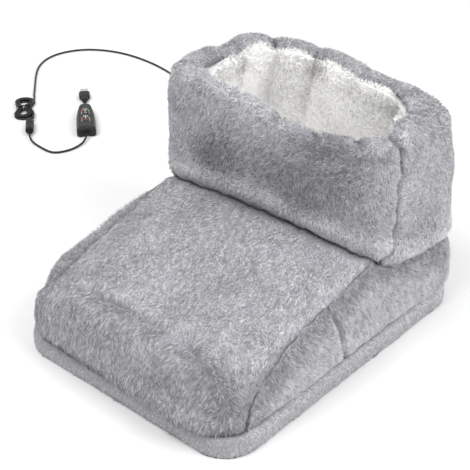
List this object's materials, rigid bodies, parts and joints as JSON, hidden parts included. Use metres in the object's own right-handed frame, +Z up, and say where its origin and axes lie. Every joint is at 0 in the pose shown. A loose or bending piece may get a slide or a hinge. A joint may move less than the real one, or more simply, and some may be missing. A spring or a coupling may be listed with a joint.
{
  "type": "electric foot warmer",
  "caption": "Plush boot for both feet with a sherpa-lined shaft, a heated sole, and a USB lead with an in-line timer and heat controller.",
  "frame": {"origin": "middle of the boot's sole on the floor, without the cord and what is on it", "axes": "+Z up, +Y from the toe to the heel, +X to the boot's right-hand side as its wearer sees it"},
  "size_m": [0.8934, 0.6442, 0.2521],
  "materials": {
    "grey_plush": "short-pile plush",
    "white_sherpa": "curly sherpa pile",
    "polyester_wadding": "loose fibre",
    "sole_fabric": "dotted anti-slip cloth",
    "foam": "open-cell foam",
    "felt": "needled felt",
    "silicone_wire": "satin",
    "black_pvc": "satin",
    "black_abs": "gloss",
    "label_film": "gloss",
    "button_rubber": "satin",
    "light_bar": "clear",
    "circuit_board": "solder mask",
    "nickel": "bright plate",
    "brass": "plated",
    "white_nylon": "satin"
  },
  "bodies": {
    "boot": {"vamp_panel": "grey_plush", "right_side_panel": "grey_plush", "left_side_panel": "grey_plush", "heel_panel": "grey_plush", "collar_front_panel": "grey_plush", "collar_rear_panel": "grey_plush", "vamp_wadding": "polyester_wadding", "right_side_wadding": "polyester_wadding", "left_side_wadding": "polyester_wadding", "heel_wadding": "polyester_wadding", "collar_wadding": "polyester_wadding", "vamp_lining": "white_sherpa", "right_side_lining": "white_sherpa", "left_side_lining": "white_sherpa", "heel_lining": "white_sherpa", "collar_lining": "white_sherpa", "sole_bottom": "sole_fabric", "sole_edge_band": "grey_plush", "sole_foam": "foam", "heating_pad_felt": "felt", "heating_wire": "silicone_wire", "thermostat": "white_nylon", "insole_pad": "white_sherpa", "lead_gland": "black_pvc", "inner_lead": "black_pvc", "boot_lead": "black_pvc", "cord_hank": "black_pvc", "hank_tie": "black_pvc", "hank_tie_twist": "black_pvc", "socket_lead": "black_pvc", "socket_body": "black_pvc", "socket_pin": "nickel"},
    "connector": {"plug_body": "black_pvc", "plug_barrel": "nickel", "controller_lead": "black_pvc", "controller_bottom_shell": "black_abs", "controller_top_shell": "black_abs", "controller_label": "label_film", "circuit_board": "circuit_board", "timer_switch": "black_abs", "heat_switch": "black_abs", "timer_lights": "light_bar", "heat_lights": "light_bar", "controller_screw_near": "nickel", "controller_screw_far": "nickel", "usb_lead": "black_pvc", "usb_plug_body": "black_pvc", "usb_shell": "nickel", "usb_tongue": "white_nylon", "usb_contact_1": "brass", "usb_contact_2": "brass", "usb_contact_3": "brass", "usb_contact_4": "brass"},
    "timer_button_body": {"timer_button": "button_rubber"},
    "heat_button_body": {"heat_button": "button_rubber"}
  },
  "joints": [
    {"name": "connector_unplug", "type": "slide", "parent": "boot", "child": "connector", "axis": [0.7604, -0.6494, 0], "range_m": [0, 0.012]},
    {"name": "timer_button_press", "type": "slide", "parent": "connector", "child": "timer_button_body", "axis": [0, 0, -1], "range_m": [0, 0.0005], "stiffness_N_per_m": 900, "springref_m": -0.0008},
    {"name": "heat_button_press", "type": "slide", "parent": "connector", "child": "heat_button_body", "axis": [0, 0, -1], "range_m": [0, 0.0005], "stiffness_N_per_m": 900, "springref_m": -0.0008}
  ]
}
